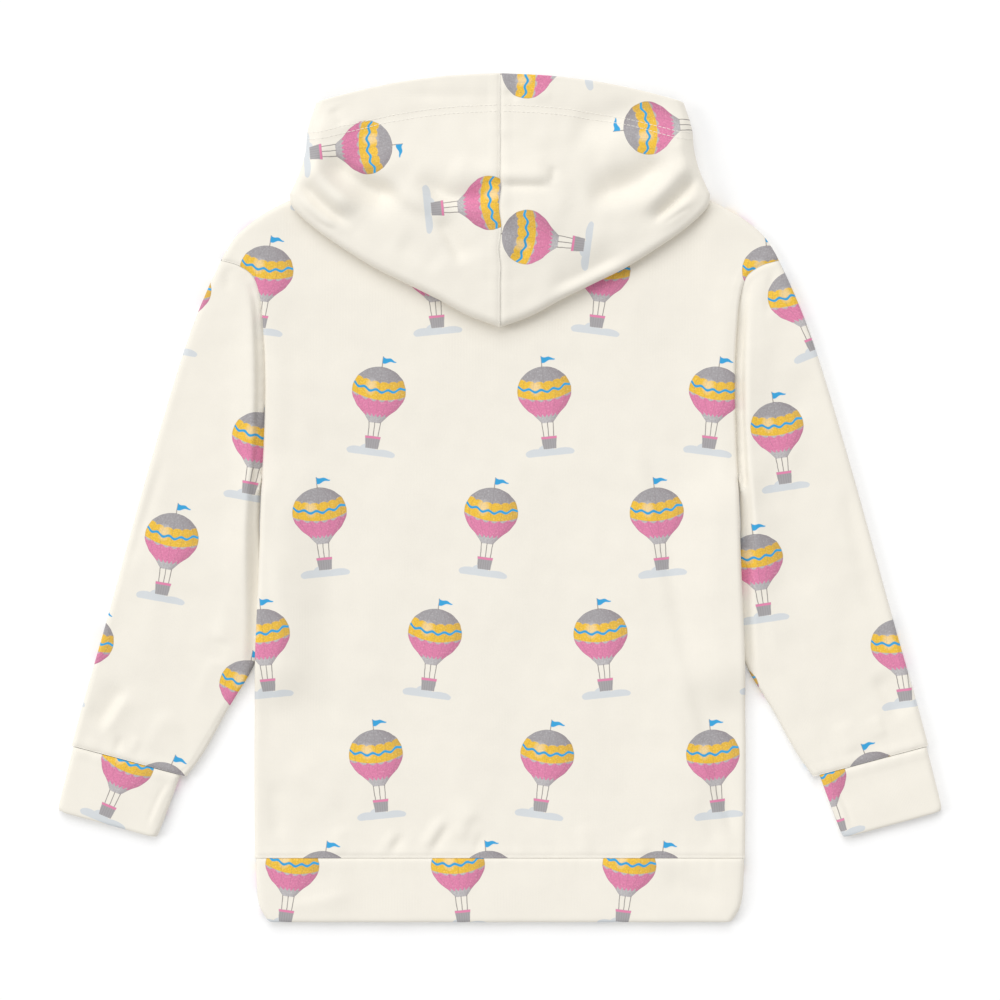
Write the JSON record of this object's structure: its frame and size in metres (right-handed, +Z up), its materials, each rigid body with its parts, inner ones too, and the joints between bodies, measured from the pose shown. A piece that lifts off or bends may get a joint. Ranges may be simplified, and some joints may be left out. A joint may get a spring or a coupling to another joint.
{
  "type": "hoodie",
  "caption": "Child's pullover hoodie of printed sweatshirt cloth, laid flat on its front with the hood thrown back, with a hem band, cuffs and dropped-shoulder sleeves.",
  "frame": {"origin": "on the surface that the garment lies on, under the middle of its outline", "axes": "+X to the wearer's right of the garment as it lies, across the spread sleeves; +Y from the hem to the hood; +Z up from the surface, out of the garment's back"},
  "size_m": [0.6722, 0.644, 0.0273],
  "materials": {
    "printed_fleece": "soft matt knit with a small spaced print"
  },
  "bodies": {
    "root": {"front_panel": "printed_fleece", "back_panel": "printed_fleece", "waistband": "printed_fleece", "sleeve_right": "printed_fleece", "sleeve_left": "printed_fleece", "cuff_right": "printed_fleece", "cuff_left": "printed_fleece", "hood_right": "printed_fleece", "hood_left": "printed_fleece"}
  },
  "joints": []
}
